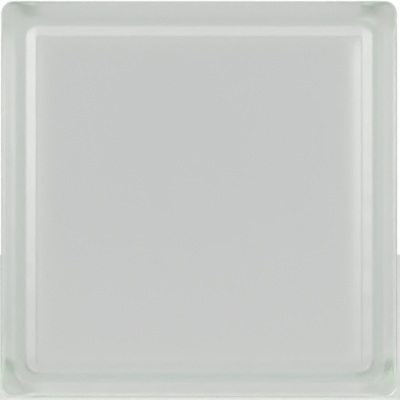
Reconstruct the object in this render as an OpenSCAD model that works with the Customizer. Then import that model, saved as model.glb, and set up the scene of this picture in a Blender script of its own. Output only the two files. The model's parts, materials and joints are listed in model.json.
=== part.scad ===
// Hollow glass block for walls. Two pressed glass halves, each a dish with a flat face, are fused
// rim to rim, which seals the air inside. Round each face a lip stands out beyond the side walls, and
// the two lips frame the channel that mortar and a reinforcing bar fill.
// The block stands on its bottom edge: X is the width, Y the depth with the front face towards -Y,
// and Z is up. The origin is the middle of the bottom edge. Sizes are in millimetres.

/* [Block] */
// Width from lip to lip
block_w = 190; // [120:1:300]
// Height from lip to lip
block_h = 190; // [120:1:300]
// Depth from face to face
block_d = 80; // [60:1:120]
// Radius of the four corners, seen from the front
corner_r = 6; // [4:0.5:12]

/* [Face] */
// Thickness of each face plate
face_t = 8; // [5:0.5:12]
// Rounding of the edge round each face
edge_r = 2.5; // [1:0.25:4]

/* [Lip] */
// Depth of the lip's flat edge, back from the face
lip_d = 13; // [9:0.5:17]
// Depth over which the back of the lip slopes down to the side wall
shoulder_d = 5; // [2:0.5:8]

/* [Mortar channel] */
// How far the side walls are set in from the lips
channel_depth = 6.5; // [4:0.25:10]
// Radius of the side walls' outer corners
wall_corner_r = 8; // [6:0.5:14]

/* [Side wall] */
// Thickness of the side walls at the seam
wall_t = 4.5; // [3:0.25:8]
// Angle by which the inside of a wall leans in towards the face, in degrees
draft = 1; // [0.5:0.25:2]
// Width of the flat bevel inside, where a wall meets the face plate
bevel_w = 5.2; // [2:0.2:8]
// Depth of that bevel, back from the inside of the face plate
bevel_d = 4.8; // [2:0.2:8]
// Corner radius of the flat part of the face plate's inside
floor_corner_r = 0.5; // [0.25:0.25:4]

/* [Seam] */
// How far the fused seam stands out from the side walls
seam_h = 1.2; // [0.5:0.1:2]
// Width of the fused seam
seam_w = 5; // [4:0.5:8]

/* [Hidden] */
$fn = 96;
// How far a cutting shape reaches past what it cuts
past = 1;
glass_colour = [0.80, 0.85, 0.82, 0.6];

// A half is made lying down, with its seam at z = 0 and its face at z = half_d
half_d = block_d / 2;
lip_back = half_d - lip_d;
shoulder_back = lip_back - shoulder_d;
wall_w = block_w - 2 * channel_depth;
wall_h = block_h - 2 * channel_depth;

// Inside, the leaning wall runs from the seam up to this height, where the bevel starts
bevel_z = half_d - face_t - bevel_d;
cavity_corner_r = floor_corner_r + bevel_w + bevel_z * tan(draft);
cavity_w = wall_w - 2 * wall_t;
cavity_h = wall_h - 2 * wall_t;

// The seam's outside is part of a circle of this radius
seam_arc_r = (pow(seam_h, 2) + pow(seam_w / 2, 2)) / (2 * seam_h);

// The upper right quarter of a disc
module quarter_disc(r) {
    intersection() {
        circle(r);
        square(r);
    }
}

// A straight bar along X. Its section holds the outline at both ends of span and is solid between
// them, from z_low to z_high.
module bar(length, span, r, z_low, z_high) {
    rotate([90, 0, 90]) linear_extrude(length, center = true)
        for (side = [0, 1]) mirror([side, 0]) {
            translate([span / 2 - r, 0]) children();
            translate([0, z_low]) square([span / 2 - r, z_high - z_low]);
        }
}

// A slab of w by h with corners of radius r, whose edge has the outline drawn by children(). In the
// outline, x = 0 is the axis of a corner, x = r the outside of the slab, and y the height.
module slab(w, h, r, z_low, z_high) {
    for (side_x = [-1, 1], side_y = [-1, 1])
        translate([side_x * (w / 2 - r), side_y * (h / 2 - r), 0])
            rotate_extrude() children();
    bar(w - 2 * r, h, r, z_low, z_high) children();
    rotate([0, 0, 90]) bar(h - 2 * r, w, r, z_low, z_high) children();
}

// Edge of the face slab: straight, then rounded where it meets the face
module face_outline() {
    translate([0, shoulder_back])
        square([corner_r, half_d - edge_r - shoulder_back]);
    translate([0, half_d - edge_r]) square([corner_r - edge_r, edge_r]);
    translate([corner_r - edge_r, half_d - edge_r]) quarter_disc(edge_r);
}

// Wedge that cuts the slope into the back of one lip, whose outside is at x = reach
module lip_slope(reach, length) {
    slope = shoulder_d / channel_depth;
    rotate([90, 0, 0]) linear_extrude(length, center = true) polygon([
        [reach - channel_depth, shoulder_back],
        [reach + past, lip_back + past * slope],
        [reach + past, shoulder_back - past],
        [reach - channel_depth, shoulder_back - past],
    ]);
}

// Face plate and lip, before the inside is taken out
module face_and_lip() {
    difference() {
        slab(block_w, block_h, corner_r, shoulder_back, half_d) face_outline();
        for (turn = [0, 180]) {
            rotate([0, 0, turn]) lip_slope(block_w / 2, block_h + 2 * past);
            rotate([0, 0, turn + 90]) lip_slope(block_h / 2, block_w + 2 * past);
        }
    }
}

// Edge of the side walls: straight, with the part of the fused seam that stands out from it
module wall_outline() {
    square([wall_corner_r, lip_back]);
    intersection() {
        translate([wall_corner_r + seam_h - seam_arc_r, 0]) circle(seam_arc_r);
        square([wall_corner_r + seam_h, seam_w]);
    }
}

// Side walls, from the seam into the lip, before the inside is taken out
module walls() {
    slab(wall_w, wall_h, wall_corner_r, 0, lip_back) wall_outline();
}

// Edge of the inside: the leaning wall, then the bevel that ends on the face plate
module cavity_outline() {
    polygon([
        [0, -past],
        [cavity_corner_r + past * tan(draft), -past],
        [floor_corner_r + bevel_w, bevel_z],
        [floor_corner_r, half_d - face_t],
        [0, half_d - face_t],
    ]);
}

// The space inside one half
module cavity() {
    slab(cavity_w, cavity_h, cavity_corner_r, -past, half_d - face_t) cavity_outline();
}

// One pressed half, lying on its seam with its face up
module pressed_half() {
    difference() {
        union() {
            face_and_lip();
            walls();
        }
        cavity();
    }
}

module front_half() {
    color(glass_colour)
        translate([0, 0, block_h / 2]) rotate([90, 0, 0]) pressed_half();
}

module back_half() {
    color(glass_colour)
        translate([0, 0, block_h / 2]) rotate([-90, 0, 0]) pressed_half();
}

front_half();
back_half();
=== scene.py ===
"""Looks of the hollow glass block: two pressed halves with satin faces, on a pale floor in soft light.

Lengths are in metres. Each half is drawn once as a section, a line of points that starts at the centre
of the outer face, goes round the lip, the side wall, the seam and the rim, and comes back along the
inside to the centre of the inner face. The section is then carried round the square as rings.
"""

import json
import math

import bpy
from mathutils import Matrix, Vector

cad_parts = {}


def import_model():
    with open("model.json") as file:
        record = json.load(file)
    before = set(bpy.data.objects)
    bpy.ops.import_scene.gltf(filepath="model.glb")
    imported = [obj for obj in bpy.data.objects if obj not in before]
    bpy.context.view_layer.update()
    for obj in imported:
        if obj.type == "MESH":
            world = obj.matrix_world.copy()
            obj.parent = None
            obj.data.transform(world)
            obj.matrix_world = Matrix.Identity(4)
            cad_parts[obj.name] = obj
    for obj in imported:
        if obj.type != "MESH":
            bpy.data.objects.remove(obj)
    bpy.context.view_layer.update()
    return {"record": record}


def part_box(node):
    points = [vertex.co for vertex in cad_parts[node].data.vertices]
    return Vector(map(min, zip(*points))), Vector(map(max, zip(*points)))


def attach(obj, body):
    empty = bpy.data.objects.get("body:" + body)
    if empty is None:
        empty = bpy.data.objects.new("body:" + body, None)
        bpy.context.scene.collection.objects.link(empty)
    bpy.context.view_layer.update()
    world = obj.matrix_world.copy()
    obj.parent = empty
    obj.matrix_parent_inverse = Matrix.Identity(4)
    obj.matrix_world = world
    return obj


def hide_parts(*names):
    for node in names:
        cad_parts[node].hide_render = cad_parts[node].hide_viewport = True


MM = 0.001

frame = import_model()
mounts = {m["name"]: Vector(m["pos_m"]) for m in frame["record"]["mounts"]}

# The block, from the frame
LOW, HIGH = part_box("front_half")[0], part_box("back_half")[1]
HALF_W = (HIGH.x - LOW.x) / 2
HALF_H = (HIGH.z - LOW.z) / 2
HALF_D = (HIGH.y - LOW.y) / 2
CENTRE = (LOW + HIGH) / 2
CHANNEL = mounts["bottom_channel"].z - LOW.z

# The section of a half, as in part.scad
CORNER_R = 6 * MM
EDGE_R = 2.5 * MM
LIP_D = 13 * MM
SHOULDER_D = 5 * MM
WALL_CORNER_R = 8 * MM
WALL_T = 4.5 * MM
FACE_T = 8 * MM
BEVEL_W = 5.2 * MM
BEVEL_D = 4.8 * MM
FLOOR_CORNER_R = 0.5 * MM
DRAFT = math.radians(1)
SEAM_H = 1.2 * MM
SEAM_W = 5 * MM

# How far from each corner of the section its small round starts
LIP_SOFT = 0.8 * MM
CHANNEL_SOFT = 1.5 * MM
BEVEL_START_SOFT = 0.5 * MM
BEVEL_END_SOFT = 0.6 * MM

# Faces in one plane let light through wrongly: each half stops this short of the seam's middle plane,
# and the floor lies this far under the block
SEAM_GAP = 0.02 * MM
FLOOR_GAP = 0.05 * MM

# How finely the section and the rings are drawn
ARC_STEPS = 14
SOFT_STEPS = 8
SEAM_STEPS = 8
SIDE_POINTS = 40
CORNER_POINTS = 10
FACE_RING_STEP = 4 * MM
WALL_RING_STEP = 3 * MM
# Half the width of the innermost ring, and the least corner radius that a ring on a face has
CENTRE_RING = 1 * MM
LEAST_R = 0.3 * MM

# Glass: it takes a little red and blue out of the light
GLASS_IOR = 1.5
GLASS_COLOUR = (0.62, 0.95, 0.60, 1)
GLASS_DENSITY = 2.75
SATIN_ROUGHNESS = 0.3
SATIN_UNEVEN = 0.03
PRESSED_ROUGHNESS = 0.18
GRAIN_HEIGHT = 0.03 * MM
RIPPLE_HEIGHT = 0.15 * MM
# Patterns of the glass: how fine each one is, and how much detail it has
ETCH_PATTERN = (60, 4)
GRAIN_PATTERN = (1800, 2)
RIPPLE_PATTERN = (90, 1)

# Floor: its paint as the camera sees it, and the even level that reaches the block from it
FLOOR_HALF = 3
FLOOR_COLOUR = (0.9, 0.9, 0.9, 1)
FLOOR_ROUGHNESS = 0.7
FLOOR_LEVEL = 0.58

# Light from round the block: degrees from straight behind it, the level there, and how warm it is
LIGHT_LEVELS = (
    (0, 0.46, -0.012),
    (7, 0.51, -0.005),
    (12, 0.59, 0.006),
    (38, 0.63, 0.006),
    (50, 0.72, 0.012),
    (85, 0.73, 0.012),
    (110, 0.9, 0),
    (150, 1.1, 0),
)
# Where it is a little brighter or dimmer: the direction, how many degrees the change reaches, and its share
SOFT_PATCHES = (
    ((0.54, 0.84, 0), 30, 0.4),
    ((0, 0.82, 0.57), 38, -0.09),
    ((0, 0, 1), 60, -0.12),
    ((-1, 0, 0), 40, 0.06),
    ((0, -0.8, 0.6), 45, -0.25),
)
BEHIND = (0, 1, 0)

# Key light: in front, up to the left, with its side in metres and its power in watts
KEY_PLACE = (-1.5, -2, 2)
KEY_SIZE = 3
KEY_POWER = 22

# Camera: it stands a little right of and below the block's middle, and the picture is a little wider
# than the block
CAMERA_DISTANCE = 1.2
CAMERA_OFFSET = 0.4 * MM
PICTURE_TO_BLOCK = 400 / 396.8
SENSOR_MM = 36
CLIP_END = 50

# Light passes through many surfaces of the glass before it gets out
BOUNCES = 64


# ---------------------------------------------------------------- section

def between(start, end, share):
    """The point at a share of the way from start to end."""
    return tuple(a + (b - a) * share for a, b in zip(start, end))


def arc(centre, radius, start, end, steps):
    """Points on a circle in the section, from one angle to the other, in degrees."""
    points = []
    for i in range(steps + 1):
        angle = math.radians(start + (end - start) * i / steps)
        points.append((centre[0] + radius * math.cos(angle), centre[1] + radius * math.sin(angle)))
    return points


def line(start, end, step):
    """Points on a straight line, both ends included, about a step apart."""
    count = max(1, round(math.dist(start, end) / step))
    return [between(start, end, i / count) for i in range(count + 1)]


def soften(before, corner, after, reach):
    """A small round in place of a corner, as a curve that starts and ends at reach from it."""
    start = between(corner, before, reach / math.dist(corner, before))
    end = between(corner, after, reach / math.dist(corner, after))
    points = []
    for i in range(SOFT_STEPS + 1):
        t = i / SOFT_STEPS
        points.append(between(between(start, corner, t), between(corner, end, t), t))
    return points


# A point of the section is (inset, depth): how far in from the lip's edge and how far back from the face
def outer_section():
    """From the centre of the outer face to the seam, as (inset, depth, corner radius)."""
    points = []
    for inset, depth in line((HALF_W - CENTRE_RING, 0), (EDGE_R, 0), FACE_RING_STEP)[:-1]:
        points.append((inset, depth, max(CORNER_R - inset, LEAST_R)))
    for inset, depth in arc((EDGE_R, EDGE_R), EDGE_R, 270, 180, ARC_STEPS):
        points.append((inset, depth, CORNER_R - inset))
    lip_end = (0, LIP_D)
    wall_top = (CHANNEL, LIP_D + SHOULDER_D)
    seam_start = (CHANNEL, HALF_D - SEAM_W / 2)
    seam_r = (SEAM_H ** 2 + (SEAM_W / 2) ** 2) / (2 * SEAM_H)
    seam_angle = math.degrees(math.asin(SEAM_W / 2 / seam_r))
    outside = soften((0, 0), lip_end, wall_top, LIP_SOFT)
    outside += soften(lip_end, wall_top, seam_start, CHANNEL_SOFT)
    # The seam starts with two rings in one place, so that its edge is shaded as a sharp one
    outside.append(seam_start)
    outside += arc((CHANNEL - SEAM_H + seam_r, HALF_D), seam_r, 180 + seam_angle, 180, SEAM_STEPS)
    for inset, depth in outside:
        share = min(max(inset / CHANNEL, 0), 1)
        points.append((inset, depth, CORNER_R + share * (WALL_CORNER_R - CORNER_R)))
    return points


def inner_section():
    """From the rim to the centre of the inner face, as (inset, depth, corner radius)."""
    rim = (CHANNEL + WALL_T, HALF_D)
    bevel_depth = FACE_T + BEVEL_D
    lean = (HALF_D - bevel_depth) * math.tan(DRAFT)
    bevel_start = (rim[0] + lean, bevel_depth)
    bevel_end = (bevel_start[0] + BEVEL_W, FACE_T)
    centre = (HALF_W - CENTRE_RING, FACE_T)
    wall = line(rim, bevel_start, WALL_RING_STEP)[:-1]
    bevel = soften(rim, bevel_start, bevel_end, BEVEL_START_SOFT)
    bevel += soften(bevel_start, bevel_end, centre, BEVEL_END_SOFT)
    points = []
    for inset, depth in wall + bevel + line(bevel[-1], centre, FACE_RING_STEP)[1:]:
        points.append((inset, depth, max(FLOOR_CORNER_R + bevel_end[0] - inset, LEAST_R)))
    return points


# ---------------------------------------------------------------- halves

def ring(half_w, half_h, radius):
    """Points of a rounded rectangle round the origin, with the same number of points each time."""
    points = []
    for turn, (sx, sz) in enumerate(((1, 1), (-1, 1), (-1, -1), (1, -1))):
        for i in range(CORNER_POINTS + 1):
            angle = math.radians(90 * (turn + i / CORNER_POINTS))
            points.append((sx * (half_w - radius) + radius * math.cos(angle),
                           sz * (half_h - radius) + radius * math.sin(angle)))
        start = points[-1]
        if sx * sz > 0:
            end = (-sx * (half_w - radius), start[1])
        else:
            end = (start[0], -sz * (half_h - radius))
        for i in range(1, SIDE_POINTS):
            points.append(between(start, end, i / SIDE_POINTS))
    return points


def build_half(name, facing):
    """One pressed half as a closed mesh. facing is -1 for the front half and +1 for the back half."""
    verts, faces, satin_values = [], [], []
    outer = outer_section()
    section = outer + inner_section()
    for i, (inset, depth, radius) in enumerate(section):
        y = facing * (HALF_D - min(depth, HALF_D - SEAM_GAP))
        on_face = i < len(outer) and depth <= EDGE_R
        for x, z in ring(HALF_W - inset, HALF_H - inset, radius):
            verts.append((CENTRE.x + x, CENTRE.y + y, CENTRE.z + z))
            satin_values.append(1.0 if on_face else 0.0)
    count = len(verts) // len(section)
    for i in range(len(section) - 1):
        for j in range(count):
            k = (j + 1) % count
            quad = (i * count + j, i * count + k, (i + 1) * count + k, (i + 1) * count + j)
            faces.append(quad[::-1] if facing < 0 else quad)
    first = list(range(count))
    last = [(len(section) - 1) * count + j for j in range(count)]
    faces.append(first if facing < 0 else first[::-1])
    faces.append(last[::-1] if facing < 0 else last)
    mesh = bpy.data.meshes.new(name)
    mesh.from_pydata(verts, [], faces)
    satin = mesh.attributes.new("satin", "FLOAT", "POINT")
    satin.data.foreach_set("value", satin_values)
    mesh.validate()
    mesh.shade_smooth()
    piece = bpy.data.objects.new(name, mesh)
    bpy.context.scene.collection.objects.link(piece)
    return piece


# ---------------------------------------------------------------- material

def satin_glass():
    """Slightly green glass: finely grained where it is satin, and gently rippled where it was pressed."""
    mat = bpy.data.materials.new("satin_glass")
    mat.use_nodes = True
    nodes, links = mat.node_tree.nodes, mat.node_tree.links
    shader = nodes["Principled BSDF"]
    shader.inputs["Base Color"].default_value = (1, 1, 1, 1)
    shader.inputs["Transmission Weight"].default_value = 1
    shader.inputs["IOR"].default_value = GLASS_IOR
    satin = nodes.new("ShaderNodeAttribute")
    satin.attribute_name = "satin"
    place = nodes.new("ShaderNodeTexCoord")

    def pattern(scale, detail):
        cloud = nodes.new("ShaderNodeTexNoise")
        cloud.inputs["Scale"].default_value = scale
        cloud.inputs["Detail"].default_value = detail
        links.new(place.outputs["Object"], cloud.inputs["Vector"])
        return cloud.outputs["Fac"]

    # Roughness: satin on the face, a little uneven as etching leaves it, and smoother elsewhere
    etched = nodes.new("ShaderNodeMapRange")
    etched.inputs["To Min"].default_value = SATIN_ROUGHNESS - SATIN_UNEVEN
    etched.inputs["To Max"].default_value = SATIN_ROUGHNESS + SATIN_UNEVEN
    links.new(pattern(*ETCH_PATTERN), etched.inputs["Value"])
    rough = nodes.new("ShaderNodeMapRange")
    rough.inputs["To Min"].default_value = PRESSED_ROUGHNESS
    links.new(satin.outputs["Fac"], rough.inputs["Value"])
    links.new(etched.outputs["Result"], rough.inputs["To Max"])
    links.new(rough.outputs["Result"], shader.inputs["Roughness"])

    # Grain of the satin, and ripples from the mould on the pressed surfaces
    grain = nodes.new("ShaderNodeBump")
    grain.inputs["Distance"].default_value = GRAIN_HEIGHT
    links.new(pattern(*GRAIN_PATTERN), grain.inputs["Height"])
    links.new(satin.outputs["Fac"], grain.inputs["Strength"])
    pressed = nodes.new("ShaderNodeMath")
    pressed.operation = "SUBTRACT"
    pressed.inputs[0].default_value = 1
    links.new(satin.outputs["Fac"], pressed.inputs[1])
    ripple = nodes.new("ShaderNodeBump")
    ripple.inputs["Distance"].default_value = RIPPLE_HEIGHT
    links.new(pattern(*RIPPLE_PATTERN), ripple.inputs["Height"])
    links.new(pressed.outputs["Value"], ripple.inputs["Strength"])
    links.new(grain.outputs["Normal"], ripple.inputs["Normal"])
    links.new(ripple.outputs["Normal"], shader.inputs["Normal"])

    absorb = nodes.new("ShaderNodeVolumeAbsorption")
    absorb.inputs["Color"].default_value = GLASS_COLOUR
    absorb.inputs["Density"].default_value = GLASS_DENSITY
    links.new(absorb.outputs["Volume"], nodes["Material Output"].inputs["Volume"])
    return mat


# ---------------------------------------------------------------- studio

def camera_sees(nodes, links, shown, otherwise):
    """A shader that is one thing to the camera and another to the light that reaches the block."""
    seen = nodes.new("ShaderNodeLightPath")
    either = nodes.new("ShaderNodeMixShader")
    links.new(seen.outputs["Is Camera Ray"], either.inputs["Fac"])
    links.new(otherwise, either.inputs[1])
    links.new(shown, either.inputs[2])
    return either.outputs["Shader"]


def floor():
    """A plain pale floor. What reaches the block from it is even, so that no side of the block goes dark."""
    mesh = bpy.data.meshes.new("floor")
    signs = ((-1, -1), (1, -1), (1, 1), (-1, 1))
    corners = [(x * FLOOR_HALF, y * FLOOR_HALF, -FLOOR_GAP) for x, y in signs]
    mesh.from_pydata(corners, [], [(0, 1, 2, 3)])
    plane = bpy.data.objects.new("floor", mesh)
    bpy.context.scene.collection.objects.link(plane)
    mat = bpy.data.materials.new("floor_paint")
    mat.use_nodes = True
    nodes, links = mat.node_tree.nodes, mat.node_tree.links
    paint = nodes["Principled BSDF"]
    paint.inputs["Base Color"].default_value = FLOOR_COLOUR
    paint.inputs["Roughness"].default_value = FLOOR_ROUGHNESS
    glow = nodes.new("ShaderNodeEmission")
    glow.inputs["Strength"].default_value = FLOOR_LEVEL
    surface = camera_sees(nodes, links, paint.outputs["BSDF"], glow.outputs["Emission"])
    links.new(surface, nodes["Material Output"].inputs["Surface"])
    mesh.materials.append(mat)


def cosine_from(nodes, links, direction, towards):
    """The cosine of the angle between the direction of the light and another direction."""
    product = nodes.new("ShaderNodeVectorMath")
    product.operation = "DOT_PRODUCT"
    product.inputs[1].default_value = Vector(towards).normalized()
    links.new(direction.outputs["Generated"], product.inputs[0])
    return product.outputs["Value"]


def soft_patch(nodes, links, direction, towards, reach, level):
    """A number that is 0 all round but for a soft round patch in one direction."""
    patch = nodes.new("ShaderNodeMapRange")
    patch.interpolation_type = "SMOOTHSTEP"
    patch.inputs["From Min"].default_value = math.cos(math.radians(reach))
    patch.inputs["To Max"].default_value = level
    links.new(cosine_from(nodes, links, direction, towards), patch.inputs["Value"])
    return patch.outputs["Result"]


def world():
    """Soft light from all round, with levels that change with the angle from straight behind the block.

    The camera sees plain white, as in the photograph.
    """
    studio = bpy.data.worlds.new("studio")
    bpy.context.scene.world = studio
    studio.use_nodes = True
    studio.cycles.sampling_method = "NONE"
    nodes, links = studio.node_tree.nodes, studio.node_tree.links
    direction = nodes.new("ShaderNodeTexCoord")
    angle = nodes.new("ShaderNodeMath")
    angle.operation = "ARCCOSINE"
    links.new(cosine_from(nodes, links, direction, BEHIND), angle.inputs[0])
    half_turns = nodes.new("ShaderNodeMath")
    half_turns.operation = "DIVIDE"
    half_turns.inputs[1].default_value = math.pi
    links.new(angle.outputs["Value"], half_turns.inputs[0])
    levels = nodes.new("ShaderNodeValToRGB")
    levels.color_ramp.interpolation = "EASE"
    elements = levels.color_ramp.elements
    peak = max(level for _, level, _ in LIGHT_LEVELS)
    for i, (degrees, level, warmth) in enumerate(LIGHT_LEVELS):
        # A new ramp has two elements already
        element = elements[i] if i < 2 else elements.new(1)
        element.position = degrees / 180
        part = level / peak
        element.color = (part * (1 + warmth), part, part * (1 - warmth), 1)
    links.new(half_turns.outputs["Value"], levels.inputs["Fac"])

    # The strength is the peak level times a sum, of 1 and all the patches
    strength = nodes.new("ShaderNodeMath")
    strength.operation = "MULTIPLY"
    strength.inputs[1].default_value = peak
    rest_of_sum = strength.inputs[0]
    for patch in SOFT_PATCHES:
        add = nodes.new("ShaderNodeMath")
        links.new(soft_patch(nodes, links, direction, *patch), add.inputs[1])
        links.new(add.outputs["Value"], rest_of_sum)
        rest_of_sum = add.inputs[0]
    rest_of_sum.default_value = 1

    around = nodes["Background"]
    links.new(strength.outputs["Value"], around.inputs["Strength"])
    links.new(levels.outputs["Color"], around.inputs["Color"])
    white = nodes.new("ShaderNodeBackground")
    white.inputs["Color"].default_value = (1, 1, 1, 1)
    surface = camera_sees(nodes, links, white.outputs["Background"], around.outputs["Background"])
    links.new(surface, nodes["World Output"].inputs["Surface"])


def key_light():
    """A broad soft light that faces the block."""
    data = bpy.data.lights.new("key", "AREA")
    data.energy = KEY_POWER
    data.size = KEY_SIZE
    lamp = bpy.data.objects.new("key", data)
    lamp.location = KEY_PLACE
    lamp.rotation_euler = (CENTRE - Vector(KEY_PLACE)).to_track_quat("-Z", "Y").to_euler()
    bpy.context.scene.collection.objects.link(lamp)


def camera():
    """Straight on at the front face, which fills the picture as in the photograph."""
    data = bpy.data.cameras.new("camera")
    data.sensor_width = SENSOR_MM
    data.lens = SENSOR_MM * (CAMERA_DISTANCE - HALF_D) / (2 * HALF_W * PICTURE_TO_BLOCK)
    data.clip_end = CLIP_END
    eye = bpy.data.objects.new("camera", data)
    eye.location = (CENTRE.x + CAMERA_OFFSET, CENTRE.y - CAMERA_DISTANCE, CENTRE.z - CAMERA_OFFSET)
    eye.rotation_euler = (math.radians(90), 0, 0)
    bpy.context.scene.collection.objects.link(eye)
    bpy.context.scene.camera = eye


# ---------------------------------------------------------------- scene

glass = satin_glass()
for node, facing in (("front_half", -1), ("back_half", 1)):
    half = build_half(node + "_glass", facing)
    half.data.materials.append(glass)
    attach(half, "root")
    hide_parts(node)

floor()
world()
key_light()
camera()

scene = bpy.context.scene
scene.view_settings.view_transform = "Standard"
scene.cycles.use_denoising = True
scene.cycles.max_bounces = BOUNCES
scene.cycles.transmission_bounces = BOUNCES
scene.cycles.glossy_bounces = BOUNCES
scene.cycles.blur_glossy = 0
